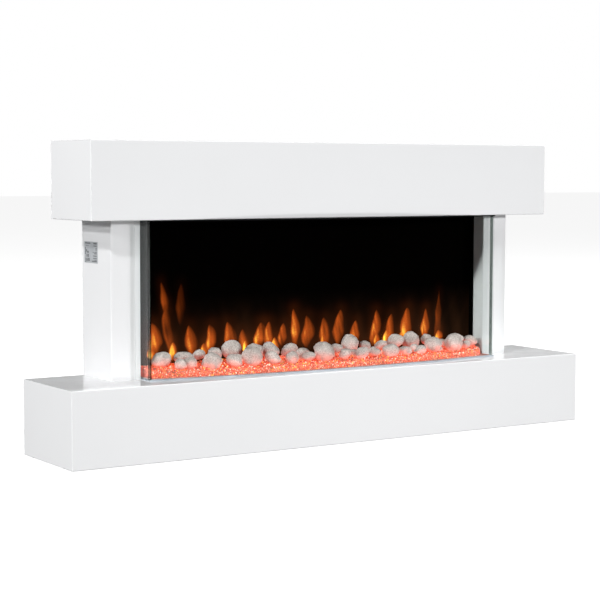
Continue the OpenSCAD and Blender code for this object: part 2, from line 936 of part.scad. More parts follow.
mantel_top();
mantel_front();
mantel_left_end();
mantel_right_end();
mantel_underside();
mantel_back_rail();
left_pillar_front();
left_pillar_outer_side();
left_pillar_inner_side();
right_pillar_front();
right_pillar_outer_side();
right_pillar_inner_side();
base_top();
base_front();
base_left_end();
base_right_end();
base_underside();
base_back();
pillar_blocks();
corner_blocks();
assembly_screws();
rating_label();
wall_bracket();
hanging_hooks();
firebox_back();
firebox_left_side();
firebox_right_side();
firebox_top();
front_glass();
left_glass();
right_glass();
glass_top_channel();
glass_bottom_channel();
corner_seals();
ember_tray();
crystal_bed();
pebbles();
ember_led_board();
flame_screen();
flame_mask();
flame_led_board();
flame_rotor();
rotor_brackets();
shaft_bushes();
rotor_motor();
heater_housing();
heating_element();
fan_impeller();
fan_motor();
thermal_cutout();
outlet_grille();
intake_grille();
power_board();
mains_gland();
control_plate();
switch_board();
power_rocker();
flame_button();
ember_button();
heat_button();
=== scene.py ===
"""Looks, light and camera for the wall-hung electric fireplace suite."""

import json
import math
import random

import bmesh
import bpy
from mathutils import Matrix, Vector, noise


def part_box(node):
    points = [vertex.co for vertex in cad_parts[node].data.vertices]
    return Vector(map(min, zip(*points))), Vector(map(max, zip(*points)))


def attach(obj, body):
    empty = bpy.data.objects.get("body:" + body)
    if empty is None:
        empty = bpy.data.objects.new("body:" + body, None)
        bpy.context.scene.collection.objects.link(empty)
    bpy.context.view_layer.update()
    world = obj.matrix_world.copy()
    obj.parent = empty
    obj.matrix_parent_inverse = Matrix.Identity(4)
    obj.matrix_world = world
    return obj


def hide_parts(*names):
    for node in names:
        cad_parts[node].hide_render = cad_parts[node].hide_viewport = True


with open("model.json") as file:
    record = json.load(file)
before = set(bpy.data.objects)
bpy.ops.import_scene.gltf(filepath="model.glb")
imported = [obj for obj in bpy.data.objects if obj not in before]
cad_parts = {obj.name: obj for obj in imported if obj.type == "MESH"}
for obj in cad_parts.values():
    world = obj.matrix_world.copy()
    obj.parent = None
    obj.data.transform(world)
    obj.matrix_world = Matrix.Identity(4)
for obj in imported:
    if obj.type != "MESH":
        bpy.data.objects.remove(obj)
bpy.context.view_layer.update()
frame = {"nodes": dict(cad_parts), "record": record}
BODY = "fireplace"
scene = bpy.context.scene
MM = 0.001

# ---------------------------------------------------------------- camera

CAMERA_AT = Vector((-1.8575, -2.8264, 0.5399))
YAW, PITCH, ROLL = math.radians(32.664), math.radians(-4.416), math.radians(0.125)

cam_data = bpy.data.cameras.new("camera")
cam_data.sensor_width = 36.0
cam_data.lens = 100.19
cam_data.clip_start, cam_data.clip_end = 0.1, 60.0
camera = bpy.data.objects.new("camera", cam_data)
scene.collection.objects.link(camera)
ahead = Vector((math.sin(YAW) * math.cos(PITCH), math.cos(YAW) * math.cos(PITCH), math.sin(PITCH)))
level = Vector((math.cos(YAW), -math.sin(YAW), 0.0))
above = level.cross(ahead)
right = level * math.cos(ROLL) + above * math.sin(ROLL)
up = above * math.cos(ROLL) - level * math.sin(ROLL)
camera_axes = Matrix((right, up, -ahead)).transposed()
camera.matrix_world = Matrix.Translation(CAMERA_AT) @ camera_axes.to_4x4()
scene.camera = camera
scene.view_settings.view_transform = "Standard"
scene.view_settings.look = "None"

# ---------------------------------------------------------------- node helpers


class Mat:
    """A material with a Principled shader and short calls for the nodes used here."""

    def __init__(self, name, color=(0.8, 0.8, 0.8), rough=0.5, metal=0.0, spec=0.5):
        self.mat = bpy.data.materials.new(name)
        self.mat.use_nodes = True
        self.nt = self.mat.node_tree
        self.nt.nodes.clear()
        self.out = self.nt.nodes.new("ShaderNodeOutputMaterial")
        self.bsdf = self.nt.nodes.new("ShaderNodeBsdfPrincipled")
        self.nt.links.new(self.bsdf.outputs[0], self.out.inputs[0])
        put = self.bsdf.inputs
        put["Base Color"].default_value = (*color, 1)
        put["Roughness"].default_value = rough
        put["Metallic"].default_value = metal
        put["Specular IOR Level"].default_value = spec
        self.coords = self.nt.nodes.new("ShaderNodeTexCoord")

    def place(self, scale=(1, 1, 1)):
        node = self.nt.nodes.new("ShaderNodeMapping")
        node.inputs["Scale"].default_value = scale
        self.nt.links.new(self.coords.outputs["Object"], node.inputs["Vector"])
        return node.outputs[0]

    def noise(self, scale, detail=3.0, rough=0.55, stretch=(1, 1, 1), distort=0.0):
        node = self.nt.nodes.new("ShaderNodeTexNoise")
        node.inputs["Scale"].default_value = scale
        node.inputs["Detail"].default_value = detail
        node.inputs["Roughness"].default_value = rough
        node.inputs["Distortion"].default_value = distort
        self.nt.links.new(self.place(stretch), node.inputs["Vector"])
        return node.outputs["Fac"]

    def cells(self, scale, stretch=(1, 1, 1), feature="F1"):
        node = self.nt.nodes.new("ShaderNodeTexVoronoi")
        node.feature = feature
        node.inputs["Scale"].default_value = scale
        self.nt.links.new(self.place(stretch), node.inputs["Vector"])
        return node.outputs["Distance"]

    def ramp(self, fac, *stops):
        node = self.nt.nodes.new("ShaderNodeValToRGB")
        e = node.color_ramp.elements
        while len(e) < len(stops):
            e.new(0.5)
        for slot, (pos, color) in zip(e, stops):
            slot.position = pos
            slot.color = (*color, 1) if len(color) == 3 else color
        self.nt.links.new(fac, node.inputs[0])
        return node.outputs[0]

    def span(self, fac, lo, hi, from_lo=0.3, from_hi=0.7):
        node = self.nt.nodes.new("ShaderNodeMapRange")
        for name, value in (("From Min", from_lo), ("From Max", from_hi), ("To Min", lo), ("To Max", hi)):
            node.inputs[name].default_value = value
        self.nt.links.new(fac, node.inputs["Value"])
        return node.outputs[0]

    def math(self, kind, a, b):
        node = self.nt.nodes.new("ShaderNodeMath")
        node.operation = kind
        for i, v in enumerate((a, b)):
            if isinstance(v, (int, float)):
                node.inputs[i].default_value = v
            else:
                self.nt.links.new(v, node.inputs[i])
        return node.outputs[0]

    def mix(self, fac, a, b, kind="MIX"):
        node = self.nt.nodes.new("ShaderNodeMix")
        node.data_type = "RGBA"
        node.blend_type = kind
        for socket, v in ((node.inputs[0], fac), (node.inputs[6], a), (node.inputs[7], b)):
            if isinstance(v, (int, float)):
                socket.default_value = v
            elif isinstance(v, tuple):
                socket.default_value = (*v, 1)
            else:
                self.nt.links.new(v, socket)
        return node.outputs[2]

    def color_attribute(self, name):
        node = self.nt.nodes.new("ShaderNodeVertexColor")
        node.layer_name = name
        return node.outputs["Color"]

    def bump(self, height, strength, distance, after=None):
        node = self.nt.nodes.new("ShaderNodeBump")
        node.inputs["Strength"].default_value = strength
        node.inputs["Distance"].default_value = distance
        self.nt.links.new(height, node.inputs["Height"])
        if after is not None:
            self.nt.links.new(after, node.inputs["Normal"])
        self.nt.links.new(node.outputs[0], self.bsdf.inputs["Normal"])
        return node.outputs[0]

    def feed(self, socket, source):
        self.nt.links.new(source, self.bsdf.inputs[socket])


# ---------------------------------------------------------------- materials


def lacquer(name, tone):
    m = Mat(name, color=tone, rough=0.16, spec=0.5)
    cloud = m.noise(5.0, 4.0)
    m.feed("Base Color", m.ramp(cloud, (0.3, tuple(c * 0.985 for c in tone)), (0.7, tone)))
    smear = m.noise(26.0, 5.0, 0.6)
    m.feed("Roughness", m.span(smear, 0.12, 0.2))
    peel = m.bump(m.noise(420.0, 2.0, 0.5), 0.035, 0.0004)
    m.bump(m.noise(14.0, 2.0), 0.02, 0.002, after=peel)
    return m.mat


def bare_wood(name):
    m = Mat(name, rough=0.7, spec=0.3)
    grain = m.noise(22.0, 6.0, 0.6, stretch=(0.12, 1.6, 1.6), distort=0.6)
    dark, middle, pale = (0.36, 0.22, 0.11), (0.56, 0.38, 0.21), (0.66, 0.48, 0.29)
    m.feed("Base Color", m.ramp(grain, (0.3, dark), (0.52, middle), (0.72, pale)))
    fibre = m.noise(500.0, 4.0, 0.7, stretch=(0.2, 1, 1))
    m.feed("Roughness", m.span(fibre, 0.6, 0.85))
    m.bump(fibre, 0.3, 0.0004)
    return m.mat


def metal(name, tone, rough, stretch=(1, 30, 30), spangle=False):
    m = Mat(name, color=tone, rough=rough, metal=1.0)
    streak = m.noise(60.0, 4.0, 0.6, stretch=stretch)
    dull = tuple(c * 0.82 for c in tone)
    m.feed("Base Color", m.ramp(m.cells(140.0) if spangle else streak, (0.25, dull), (0.75, tone)))
    m.feed("Roughness", m.span(streak, rough * 0.75, min(1.0, rough * 1.35)))
    m.bump(streak, 0.12, 0.0002)
    return m.mat


def paint(name, tone, rough, grain=900.0, strength=0.12, spec=0.5):
    m = Mat(name, color=tone, rough=rough, spec=spec)
    dust = m.noise(18.0, 5.0, 0.6)
    darker, lighter = tuple(c * 0.8 for c in tone), tuple(c * 1.2 for c in tone)
    m.feed("Base Color", m.ramp(dust, (0.3, darker), (0.75, lighter)))
    m.feed("Roughness", m.span(dust, rough * 0.85, min(1.0, rough * 1.15)))
    m.bump(m.noise(grain, 3.0, 0.6), strength, 0.0003)
    return m.mat


def glass(name, body, gloss=1.0):
    """A pane that passes light straight through, tinted by body, and mirrors more at a glance.

    It is alike from both sides, and light from the lamps isn't weakened by the mirroring.
    """
    m = Mat(name)
    m.nt.nodes.remove(m.bsdf)
    clear = m.nt.nodes.new("ShaderNodeBsdfTransparent")
    clear.inputs["Color"].default_value = (*body, 1)
    shine = m.nt.nodes.new("ShaderNodeBsdfGlossy")
    shine.inputs["Color"].default_value = (gloss, gloss, gloss, 1)
    smear = m.noise(30.0, 4.0, 0.6)
    m.nt.links.new(m.span(smear, 0.0, 0.03), shine.inputs["Roughness"])
    facing = m.nt.nodes.new("ShaderNodeLayerWeight")
    facing.inputs["Blend"].default_value = 0.5
    glance = m.math("POWER", facing.outputs["Facing"], 5.0)
    mirrored = m.math("MULTIPLY_ADD", glance, 0.96)
    mirrored.node.inputs[2].default_value = 0.04
    path = m.nt.nodes.new("ShaderNodeLightPath")
    mirrored = m.math("MULTIPLY", mirrored, m.math("SUBTRACT", 1.0, path.outputs["Is Shadow Ray"]))
    blend = m.nt.nodes.new("ShaderNodeMixShader")
    m.nt.links.new(mirrored, blend.inputs[0])
    m.nt.links.new(clear.outputs[0], blend.inputs[1])
    m.nt.links.new(shine.outputs[0], blend.inputs[2])
    m.nt.links.new(blend.outputs[0], m.out.inputs[0])
    return m.mat


def board_green(name):
    m = Mat(name, rough=0.35, spec=0.5)
    tracks = m.ramp(m.cells(260.0, stretch=(1, 1, 1)), (0.42, (0.012, 0.11, 0.04)), (0.5, (0.03, 0.2, 0.08)))
    m.feed("Base Color", tracks)
    m.feed("Roughness", m.span(m.noise(90.0), 0.25, 0.45))
    m.bump(m.cells(260.0), 0.15, 0.0002)
    return m.mat


def foil(name):
    m = Mat(name, color=(0.46, 0.48, 0.5), rough=0.42, spec=0.5)
    crease = m.noise(45.0, 5.0, 0.7, distort=0.4)
    m.feed("Base Color", m.ramp(crease, (0.3, (0.4, 0.42, 0.44)), (0.7, (0.5, 0.52, 0.54))))
    m.feed("Roughness", m.span(crease, 0.32, 0.55))
    m.bump(crease, 0.15, 0.0004)
    return m.mat


def stone(name):
    m = Mat(name, rough=0.85, spec=0.25)
    cloud = m.noise(38.0, 5.0, 0.6)
    speck = m.noise(420.0, 4.0, 0.75)
    base = m.ramp(cloud, (0.3, (0.56, 0.485, 0.45)), (0.7, (0.76, 0.69, 0.655)))
    dark = m.ramp(speck, (0.38, (0.36, 0.33, 0.32)), (0.58, (1.0, 1.0, 1.0)))
    m.feed("Base Color", m.mix(0.7, base, dark, "MULTIPLY"))
    m.feed("Roughness", m.span(speck, 0.75, 0.95))
    pits = m.bump(speck, 0.35, 0.0005)
    m.bump(cloud, 0.3, 0.003, after=pits)
    # The glow colour is painted light: red light from the lit crystals, painted into the stones' emission.
    m.feed("Emission Color", m.color_attribute("glow"))
    m.bsdf.inputs["Emission Strength"].default_value = 1.0
    return m.mat


def crystal(name):
    m = Mat(name, rough=0.12, spec=0.6)
    tint = m.color_attribute("glow")
    m.feed("Base Color", m.mix(0.5, tint, (0.9, 0.35, 0.25)))
    m.feed("Emission Color", tint)
    m.feed("Roughness", m.span(m.noise(300.0), 0.06, 0.3))
    m.bsdf.inputs["Emission Strength"].default_value = 1.0
    m.bump(m.noise(700.0, 2.0), 0.2, 0.0005)
    return m.mat


def lit_acrylic(name, tone, strength):
    m = Mat(name, color=tone, rough=0.45, spec=0.4)
    cloud = m.noise(120.0, 4.0, 0.7)
    lit = m.ramp(cloud, (0.3, tuple(c * 0.45 for c in tone)), (0.7, tone))
    m.feed("Base Color", lit)
    m.feed("Emission Color", lit)
    m.bsdf.inputs["Emission Strength"].default_value = strength
    m.feed("Roughness", m.span(cloud, 0.35, 0.6))
    return m.mat


def flame_sheet(name):
    m = Mat(name, color=(0.0008, 0.0006, 0.0005), rough=0.9, spec=0.0)
    m.feed("Roughness", m.span(m.noise(60.0), 0.8, 0.95))
    m.feed("Emission Color", m.color_attribute("glow"))
    m.bsdf.inputs["Emission Strength"].default_value = 1.0
    return m.mat


MATERIALS = {
    "white_board": lacquer("white_lacquer", (0.88, 0.885, 0.895)),
    "bare_wood": bare_wood("bare_wood"),
    "zinc_steel": metal("zinc_plate", (0.62, 0.64, 0.66), 0.32, spangle=True),
    "label_foil": foil("label_foil"),
    "black_sheet": paint("stove_paint", (0.0012, 0.0011, 0.001), 0.7, spec=0.05),
    "clear_glass": glass("clear_glass", (0.98, 0.988, 0.984)),
    "black_channel": paint("black_channel", (0.004, 0.004, 0.004), 0.45, spec=0.2),
    "bright_channel": paint("pale_channel", (0.50, 0.55, 0.60), 0.3, strength=0.05),
    "edge_seal": glass("smoky_seal", (0.52, 0.56, 0.54), 0.6),
    "tray_plastic": lit_acrylic("tray_acrylic", (0.80, 0.42, 0.36), 0.12),
    "crystals": crystal("crushed_crystal"),
    "pebble_stone": stone("pebble_stone"),
    "circuit_board": board_green("circuit_board"),
    "flame_picture": paint("smoked_acrylic", (0.0012, 0.001, 0.001), 0.35, spec=0.1),
    "bright_sheet": metal("rolled_aluminium", (0.8, 0.8, 0.81), 0.2, stretch=(60, 2, 60)),
    "bronze": metal("sintered_bronze", (0.55, 0.36, 0.19), 0.45, stretch=(8, 8, 8)),
    "motor_black": paint("motor_black", (0.02, 0.02, 0.024), 0.38),
    "black_plastic": paint("moulded_black", (0.018, 0.018, 0.018), 0.5, grain=700.0, strength=0.3),
    "button_grey": paint("button_grey", (0.3, 0.31, 0.32), 0.3, strength=0.05),
}
# The inner side boards of the pillars get a slightly greyer lacquer, which is painted shade on the strip beside
# the side glass and on the reveal behind it.
SHADE_LACQUER = lacquer("painted_shade_lacquer", (0.82, 0.835, 0.845))

for part in frame["record"]["subparts"]:
    mesh = frame["nodes"][part["node"]].data
    mesh.materials.clear()
    shaded_side = part["node"].endswith("pillar_inner_side")
    mesh.materials.append(SHADE_LACQUER if shaded_side else MATERIALS[part["material_slot"]])


# ---------------------------------------------------------------- mesh helpers


def add_piece(name, bm, material, smooth=True, body=BODY):
    mesh = bpy.data.meshes.new(name)
    bm.to_mesh(mesh)
    bm.free()
    if smooth:
        mesh.shade_smooth()
    mesh.materials.append(material)
    piece = bpy.data.objects.new(name, mesh)
    scene.collection.objects.link(piece)
    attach(piece, body)
    return piece


def paint_glow(piece, color_at):
    """Stores a light colour for each vertex, from its place and normal."""
    layer = piece.data.color_attributes.new("glow", "FLOAT_COLOR", "POINT")
    for i, v in enumerate(piece.data.vertices):
        layer.data[i].color = (*color_at(i, v.co, v.normal), 1.0)


def soft(v, scale, seed=0.0):
    return noise.noise(Vector((v[0] * scale + seed, v[1] * scale - seed, v[2] * scale + 0.5 * seed)))


# ---------------------------------------------------------------- pebbles
# Two uneven rows lie along the bowed glass, and a few smaller stones fill in behind. Millimetres.

GLASS_LO, GLASS_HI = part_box("front_glass")
GLASS_BACK = 0.0052
BOW_SPAN = GLASS_HI.x
BOW_RISE = GLASS_HI.y - GLASS_LO.y - 0.0045
BED_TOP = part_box("crystal_bed")[1].z
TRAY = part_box("ember_tray")
# Beyond this distance from the middle, the front line of the crystals turns back from the glass
BED_TURN = 0.375


def bow_front(x):
    """Depth of the inner face of the bowed glass at x."""
    return GLASS_LO.y + GLASS_BACK + BOW_RISE * (x / BOW_SPAN) ** 2


def stone_row(rnd, y_at, reach, widths, gap, rise):
    """Stones side by side from left to right: place, width, height and lean of each."""
    x = -reach
    while x < reach:
        width = rnd.uniform(*widths)
        height = width * rnd.uniform(0.62, 1.0)
        x += width / 2
        z = BED_TOP / MM + height * 0.3 + rnd.uniform(*rise)
        yield x, y_at(x) + rnd.uniform(-4, 4), z, width, height, rnd.uniform(-30, 30)
        x += width / 2 + rnd.uniform(*gap)


def all_stones():
    rnd = random.Random(21)
    front = stone_row(rnd, lambda x: bow_front(x * MM) / MM + 31, 330, (25, 42), (2, 16), (-4, 3))
    back = stone_row(rnd, lambda x: -7, 385, (24, 44), (0, 14), (5, 14))
    fill = stone_row(rnd, lambda x: -32, 350, (18, 26), (12, 60), (-3, 3))
    return [*front, *back, *fill]


def pebble(x, y, z, width, height, lean, seed):
    """A water-worn stone: a ball pressed to size, with a few flats, a soft dent and a fine uneven skin."""
    bm = bmesh.new()
    bmesh.ops.create_icosphere(bm, subdivisions=4, radius=1.0)
    rnd = random.Random(seed)
    flats = []
    for _ in range(7):
        out = Vector((rnd.uniform(-1, 1), rnd.uniform(-1, 1), rnd.uniform(-0.7, 1)))
        flats.append((out.normalized(), rnd.uniform(0.76, 0.92)))
    depth = min(width, height) * 0.5 + max(width, height) * 0.25
    turn = Matrix.Rotation(-YAW, 3, "Z") @ Matrix.Rotation(math.radians(-lean), 3, "Y")
    for v in bm.verts:
        p = v.co.copy()
        broad, middling, fine = soft(p, 0.9, seed * 3.1), soft(p, 2.3, seed * 1.7), soft(p, 7.0, seed)
        p *= 1.0 + 0.14 * broad + 0.06 * middling + 0.018 * fine
        for n, d in flats:
            over = p.dot(n) - d
            if over > 0:
                p -= n * over * 0.75
        p = Vector((p.x * width / 2, p.y * depth / 2, p.z * height / 2))
        v.co = (turn @ p + Vector((x, y, z))) * MM
    return bm


def join(parts):
    whole = bmesh.new()
    for bm in parts:
        copy = bpy.data.meshes.new("part")
        bm.to_mesh(copy)
        bm.free()
        whole.from_mesh(copy)
        bpy.data.meshes.remove(copy)
    return whole


stones = add_piece(
    "pebble_stones",
    join([pebble(*p, seed=i + 1) for i, p in enumerate(all_stones())]),
    MATERIALS["pebble_stone"],
)
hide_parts("pebbles")


def painted_crystal_light(i, co, normal):
    """Painted red light from the lit crystals on the lower and turned-down parts of the stones."""
    down = max(0.0, 0.55 - normal.z)
    low = max(0.0, min(1.0, 1.2 - (co.z - BED_TOP + 0.006) / 0.034))
    mottle = 0.8 + 0.7 * soft(co, 90.0)
    k = max(0.0, down * low ** 1.5 * mottle)
    return (0.85 * k, 0.115 * k, 0.065 * k)


paint_glow(stones, painted_crystal_light)

# ---------------------------------------------------------------- crystals

def bed_front(x):
    """Front line of the crystals: along the glass, and turning back near the ends."""
    end = max(0.0, (abs(x) - BED_TURN) / (TRAY[1].x - BED_TURN))
    return bow_front(x) + 0.0045 + 0.038 * end ** 1.5


CRYSTAL_TONES = [
    ((0.85, 0.055, 0.018), 9),
    ((0.92, 0.10, 0.04), 7),
    ((0.95, 0.20, 0.12), 4),
    ((1.0, 0.62, 0.50), 4),
    ((1.0, 0.40, 0.06), 3),
    ((0.50, 0.03, 0.008), 4),
    ((0.16, 0.012, 0.004), 2),
]


def bed_height(x, y):
    """Top of the crystal heap: low and level at the glass, a little higher behind."""
    back = min(1.0, max(0.0, (y - bow_front(x)) / 0.07))
    return BED_TOP - 0.008 + 0.012 * back + 0.0022 * soft((x, y, 0), 38.0)


def chips(count, seed):
    """Crushed glass: small uneven six-cornered chips, piled on the bed and packed against the glass."""
    rnd = random.Random(seed)
    bm = bmesh.new()
    glow = []
    bag = [tone for tone, share in CRYSTAL_TONES for _ in range(share)]
    floor = TRAY[0].z + 0.003
    for n in range(count):
        x = rnd.uniform(TRAY[0].x + 0.006, TRAY[1].x - 0.006)
        y_front = bed_front(x) + 0.0003
        y_back = TRAY[1].y - 0.012
        face = rnd.random() < 0.5
        y = y_front + rnd.uniform(0, 0.003) if face else rnd.uniform(y_front, y_back)
        top = bed_height(x, y)
        z = rnd.uniform(floor, top) if face or rnd.random() < 0.05 else top - rnd.uniform(0, 0.003)
        size = rnd.uniform(0.0014, 0.0028)
        spin = Matrix.Rotation(rnd.uniform(0, 6.3), 3, "X") @ Matrix.Rotation(rnd.uniform(0, 6.3), 3, "Z")
        corners = []
        for axis in ((1, 0, 0), (-1, 0, 0), (0, 1, 0), (0, -1, 0), (0, 0, 1), (0, 0, -1)):
            p = spin @ (Vector(axis) * size * rnd.uniform(0.55, 1.15))
            corners.append(bm.verts.new((x + p.x, max(y + p.y, y_front - 0.003), max(z + p.z, floor))))
        for a, b, c in (
            (0, 2, 4), (2, 1, 4), (1, 3, 4), (3, 0, 4), (2, 0, 5), (1, 2, 5), (3, 1, 5), (0, 3, 5)
        ):
            bm.faces.new((corners[a], corners[b], corners[c]))
        tone = rnd.choice(bag)
        patch = 0.9 + 0.35 * soft((x, y, z), 30.0)
        glow += [(tone, patch * rnd.uniform(0.4, 1.3))] * 6
    return bm, glow


def bed_base():
    """The lumpy heap under the loose chips, closed all round."""
    bm = bmesh.new()
    across, deep = 270, 32
    x0, x1 = TRAY[0].x + 0.0035, TRAY[1].x - 0.0035
    top, bottom = [], []
    for i in range(across + 1):
        x = x0 + (x1 - x0) * i / across
        y0, y1 = bed_front(x), TRAY[1].y - 0.0105
        for j in range(deep + 1):
            y = y0 + (y1 - y0) * j / deep
            lump = 0.0014 * soft((x, y, 0), 240.0, 3.0)
            top.append(bm.verts.new((x, y, bed_height(x, y) - 0.0035 + lump)))
            bottom.append(bm.verts.new((x, y, TRAY[0].z + 0.0017)))
    row = deep + 1
    for i in range(across):
        for j in range(deep):
            a = i * row + j
            bm.faces.new((top[a], top[a + row], top[a + row + 1], top[a + 1]))
            bm.faces.new((bottom[a], bottom[a + 1], bottom[a + row + 1], bottom[a + row]))
    for i in range(across):
        a, b = i * row, i * row + deep
        bm.faces.new((bottom[a], bottom[a + row], top[a + row], top[a]))
        bm.faces.new((top[b], top[b + row], bottom[b + row], bottom[b]))
    for j in range(deep):
        a, b = j, across * row + j
        bm.faces.new((top[a], top[a + 1], bottom[a + 1], bottom[a]))
        bm.faces.new((bottom[b], bottom[b + 1], top[b + 1], top[b]))
    return bm


heap = add_piece("crystal_heap", bed_base(), MATERIALS["crystals"])
paint_glow(
    heap, lambda i, co, n: tuple(c * (0.4 + 0.4 * soft(co, 160.0)) for c in (0.80, 0.05, 0.015))
)
chip_mesh, chip_glow = chips(15000, 11)
loose = add_piece("crystal_chips", chip_mesh, MATERIALS["crystals"], smooth=False)
paint_glow(loose, lambda i, co, n: tuple(c * chip_glow[i][1] for c in chip_glow[i][0]))
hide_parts("crystal_bed")
for lit in (heap, loose):
    lit.visible_diffuse = False
    lit.visible_glossy = False

# ---------------------------------------------------------------- flame picture
# Each flame is: x and z of its foot, x and z of its tip, half width, brightness and bow. Millimetres.


def all_flames():
    """Tongues along the bed, some of them tall and faint, with hot cores at the feet of some."""
    rnd = random.Random(34)
    foot = BED_TOP / MM + 18
    reach = TRAY[1].x / MM - 45
    flames = []
    x = -reach
    while x < reach:
        tall = rnd.random() < 0.3
        height = rnd.uniform(80, 120) if tall else rnd.uniform(34, 64)
        half = rnd.uniform(7, 10) if tall else rnd.uniform(10, 15)
        power = rnd.uniform(0.12, 0.45) if tall else rnd.uniform(0.55, 1.0)
        z = foot + rnd.uniform(0, 14)
        lean = height * rnd.uniform(-0.16, 0.16)
        flames.append((x, z, x + lean, z + height, half, power, rnd.uniform(-5, 6)))
        if rnd.random() < 0.5:
            core = x + rnd.uniform(-16, 16)
            flames.append((core, foot - 4, core + 1, foot + rnd.uniform(16, 26), 8, 1.5, 0))
        x += rnd.uniform(24, 50)
    # Two torn-off wisps hang near the left end, halfway up
    flames.append((-reach + 24, foot + 90, -reach + 14, foot + 142, 8, 0.36, 1))
    flames.append((-reach + 56, foot + 74, -reach + 58, foot + 138, 10, 0.11, 0))
    return flames


FLAMES = all_flames()


def flame_light(x, z):
    """Brightness of the flame picture at a point of the screen, in millimetres."""
    sway = noise.noise(Vector((x * 0.02, 3.7, z * 0.012)))
    flutter = noise.noise(Vector((x * 0.06, 8.1, z * 0.035)))
    wave = 6.0 * sway + 2.5 * flutter
    total = 0.0
    for fx, fz, tx, tz, half, power, bow in FLAMES:
        t = (z - fz) / (tz - fz)
        if not -0.3 < t < 1.0:
            continue
        rise = max(t, 0.0)
        c = fx + (tx - fx) * rise + bow * math.sin(math.pi * rise) + wave * (0.3 + 0.7 * rise)
        belly = (min(1.0, (t + 0.3) / 0.55) ** 0.7) * (1.0 - rise ** 2.0) ** 0.7
        ragged = 1.0 + 0.22 * noise.noise(Vector((fx, 4.0, z * 0.04)))
        w = half * 1.25 * belly * ragged
        if w < 0.4:
            continue
        side = (x - c) / w
        if abs(side) >= 1.0:
            continue
        edge = min(1.0, (1.0 + side) * 2.2) * (1.0 - side) ** 0.9
        licks = 0.85 + 0.75 * noise.noise(Vector((x * 0.16 + z * 0.03, fx, z * 0.028)))
        grain = 1.0 + 0.22 * noise.noise(Vector((x * 0.5, fx, z * 0.5)))
        foot = max(0.0, min(1.0, (t + 0.3) / 0.5))
        total = max(total, power * edge * licks * grain * foot * (1.0 - rise) ** 0.45)
    return total


def flame_halo(x, z):
    """Soft glow round the flames."""
    total = 0.0
    for fx, fz, tx, tz, half, power, bow in FLAMES:
        t = max(0.0, min(1.0, (z - fz) / (tz - fz)))
        dx = (x - fx - (tx - fx) * t) / (half * 1.4)
        dz = (z - fz - (tz - fz) * t) / 14.0
        if abs(dx) < 3.0 and abs(dz) < 3.0:
            total += power * (1.0 - 0.6 * t) * math.exp(-dx * dx - dz * dz)
    return min(1.2, total)


def flame_color(i, co, normal):
    x, z = co.x / MM, co.z / MM
    k = flame_light(x, z)
    low = max(0.0, min(1.0, (300.0 - z) / 130.0))
    drift = 0.5 + 0.5 * noise.noise(Vector((x * 0.012, 1.0, z * 0.006)))
    streak = max(0.0, 0.35 + 1.1 * noise.noise(Vector((x * 0.06 + z * 0.014, 9.0, z * 0.006))))
    cross = max(0.0, noise.noise(Vector((x * 0.05 - z * 0.03, 5.0, z * 0.008))))
    haze = low ** 1.5 * (0.25 + 0.75 * drift) * (0.5 + 0.7 * streak + 0.4 * cross)
    veil = 0.0022 * max(0.0, min(1.0, (300.0 - z) / 90.0)) * (0.5 + 0.7 * drift)
    hot = max(0.0, k - 0.66)
    halo = flame_halo(x, z)
    r = 0.86 * k + 0.25 * hot + 0.034 * haze + 0.06 * halo + veil
    g = 0.14 * k + 0.62 * hot ** 1.2 + 0.0125 * haze + 0.011 * halo + veil * 0.66
    b = 0.016 * k + 0.06 * hot + 0.0050 * haze + 0.0016 * halo + veil * 0.42
    return (r, g, b)


def flame_grid():
    lo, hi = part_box("flame_screen")
    step = 0.0016
    x0, x1 = lo.x + 0.001, hi.x - 0.001
    z0, z1 = TRAY[0].z + 0.002, hi.z - 0.001
    cols, rows = int((x1 - x0) / step), int((z1 - z0) / step)
    bm = bmesh.new()
    grid = []
    for i in range(cols + 1):
        x = x0 + (x1 - x0) * i / cols
        grid.append([bm.verts.new((x, lo.y - 0.0003, z0 + (z1 - z0) * j / rows)) for j in range(rows + 1)])
    for i in range(cols):
        for j in range(rows):
            bm.faces.new((grid[i][j], grid[i + 1][j], grid[i + 1][j + 1], grid[i][j + 1]))
    return bm


picture = add_piece("flame_picture", flame_grid(), flame_sheet("flame_light"))
paint_glow(picture, flame_color)
picture.visible_diffuse = False

# ---------------------------------------------------------------- label
# Plain bars and blocks stand for the print: no words, no marks.

LABEL_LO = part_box("rating_label")[0]
LABEL_W = 58
# Each bar is: across and up from the lower far corner, then width and height. Millimetres.
LABEL_BARS = [
    (40, 36, 14, 3.2), (3, 36.6, 24, 2.4), (40, 32, 14, 2.0), (6, 32.4, 14, 1.0),
    (49, 28, 5, 1.6), (49, 24.6, 5, 2.4), (49, 21, 4, 1.4), (36, 20, 18, 1.0), (43, 17.4, 11, 1.8),
    (38, 13, 16, 1.8), (38, 8.6, 16, 1.6), (44, 5.6, 10, 1.0), (33, 2.8, 21, 1.8),
    (3, 16, 3, 14), (8, 21, 4, 5), (13, 19, 6, 4), (3, 5, 2, 4), (2, 1.4, 4, 2),
    (10, 11.5, 4, 5), (16, 11, 4, 6), (9, 3.5, 5, 5.5), (17, 3.5, 6, 6),
]


def label_print():
    bm = bmesh.new()
    for a, b, w, h in LABEL_BARS:
        y, z = LABEL_LO.y + (LABEL_W - a - w) * MM, LABEL_LO.z + b * MM
        outline = ((y, z), (y + w * MM, z), (y + w * MM, z + h * MM), (y, z + h * MM))
        corners = []
        for x in (LABEL_LO.x - 0.00004, LABEL_LO.x + 0.00002):
            corners += [bm.verts.new((x, *at)) for at in outline]
        for q in ((3, 2, 1, 0), (4, 5, 6, 7), (0, 1, 5, 4), (1, 2, 6, 5), (2, 3, 7, 6), (3, 0, 4, 7)):
            bm.faces.new([corners[k] for k in q])
    return bm


